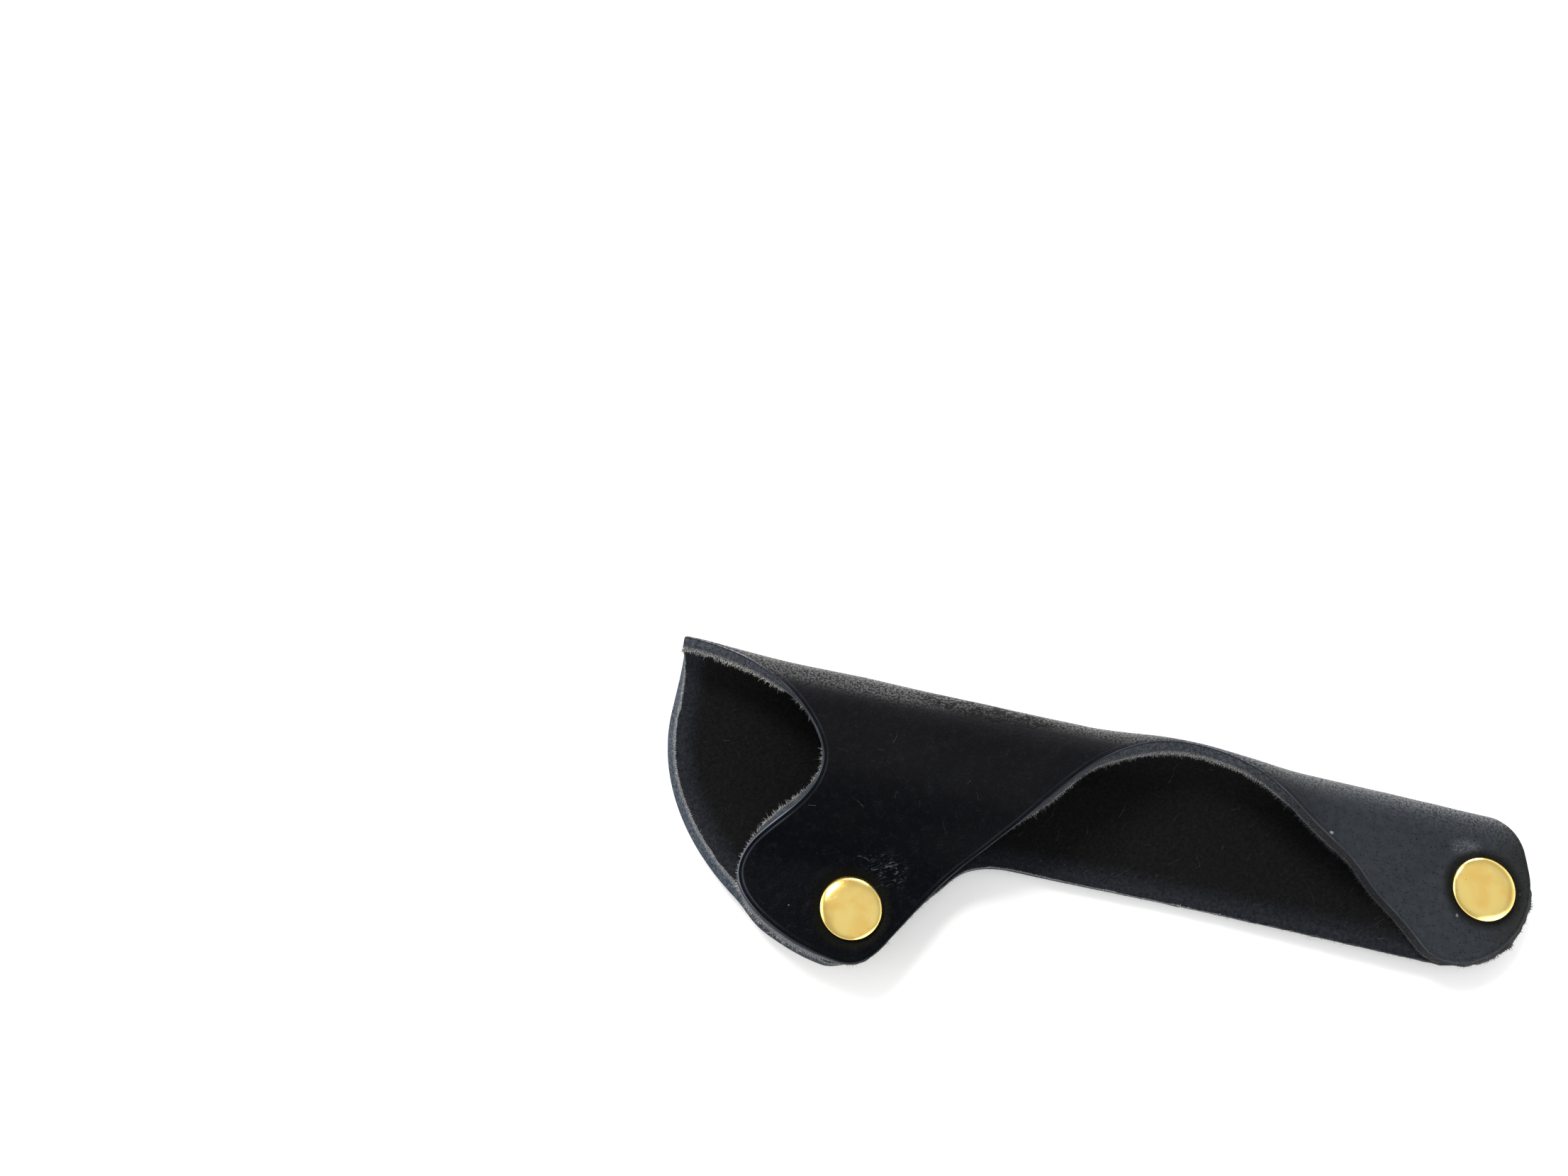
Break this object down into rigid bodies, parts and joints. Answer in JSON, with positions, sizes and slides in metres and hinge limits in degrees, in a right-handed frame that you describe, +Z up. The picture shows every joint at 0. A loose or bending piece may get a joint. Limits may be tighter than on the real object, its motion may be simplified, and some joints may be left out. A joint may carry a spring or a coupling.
{
  "type": "leather pen holder",
  "caption": "Folded black leather pen holder, held by double-cap brass rivets, with a scooped mouth, a rounded lobe and an arched window in its front.",
  "frame": {"origin": "on the flat back, halfway along the holder and on the middle of the pen channel", "axes": "+X from the mouth to the riveted tip, +Y towards the fold, +Z up out of the front"},
  "size_m": [0.1282, 0.0422, 0.0125],
  "materials": {
    "black_leather": "smooth waxed full grain, raw grey-blue cut edges",
    "brass": "polished, lightly worn"
  },
  "bodies": {
    "root": {"leather_sleeve": "black_leather", "mouth_front_cap": "brass", "mouth_front_post": "brass", "mouth_back_tube": "brass", "mouth_back_cap": "brass", "tip_front_cap": "brass", "tip_front_post": "brass", "tip_back_tube": "brass", "tip_back_cap": "brass"}
  },
  "joints": []
}
